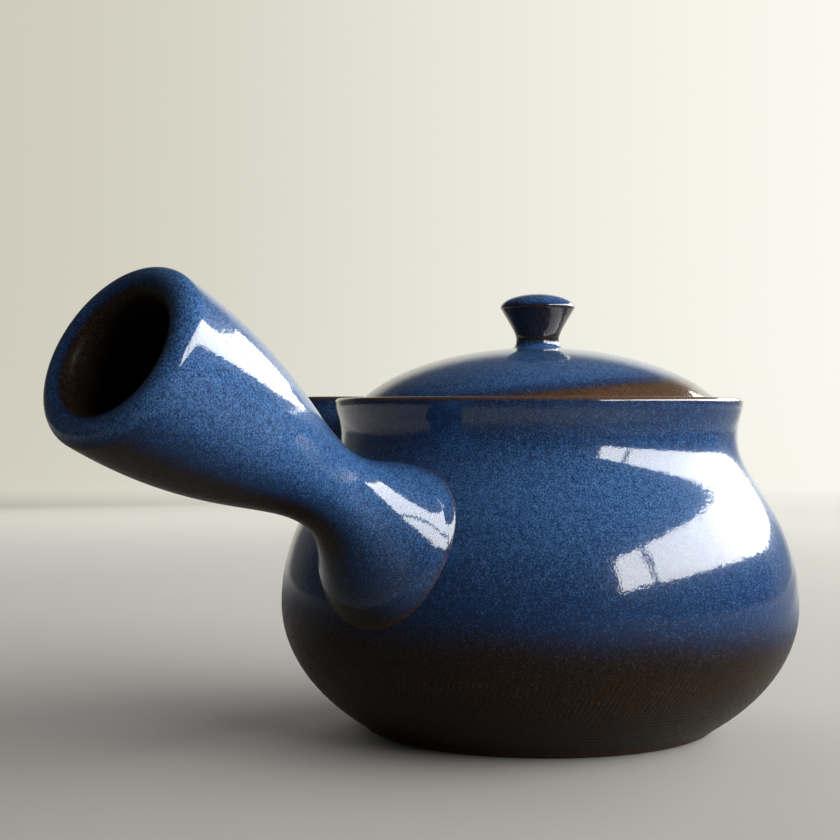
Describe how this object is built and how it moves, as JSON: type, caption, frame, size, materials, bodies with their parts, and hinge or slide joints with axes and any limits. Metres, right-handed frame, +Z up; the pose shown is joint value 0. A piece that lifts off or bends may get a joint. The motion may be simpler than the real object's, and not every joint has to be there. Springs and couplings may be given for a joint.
{
  "type": "kyusu teapot",
  "caption": "Side-handled clay teapot with a rounded belly, short level spout, hollow flared handle, inner strainer and a domed lid with a turned knob that lifts off.",
  "frame": {"origin": "centre of the flat bottom, on the table", "axes": "+Z up along the axis of the pot; the handle points along -Y and the spout along -X"},
  "size_m": [0.1269, 0.1781, 0.0925],
  "materials": {
    "blue_glaze": "glossy speckled blue glaze that thins to brown",
    "bare_clay": "bare fired clay"
  },
  "bodies": {
    "pot": {"body": "blue_glaze", "spout": "blue_glaze", "handle": "blue_glaze", "strainer": "bare_clay"},
    "lid": {"lid": "blue_glaze", "lid_knob": "blue_glaze"}
  },
  "joints": [
    {"name": "lid_lift", "type": "slide", "parent": "pot", "child": "lid", "axis": [0, 0, 1], "range_m": [0, 0.06]}
  ]
}
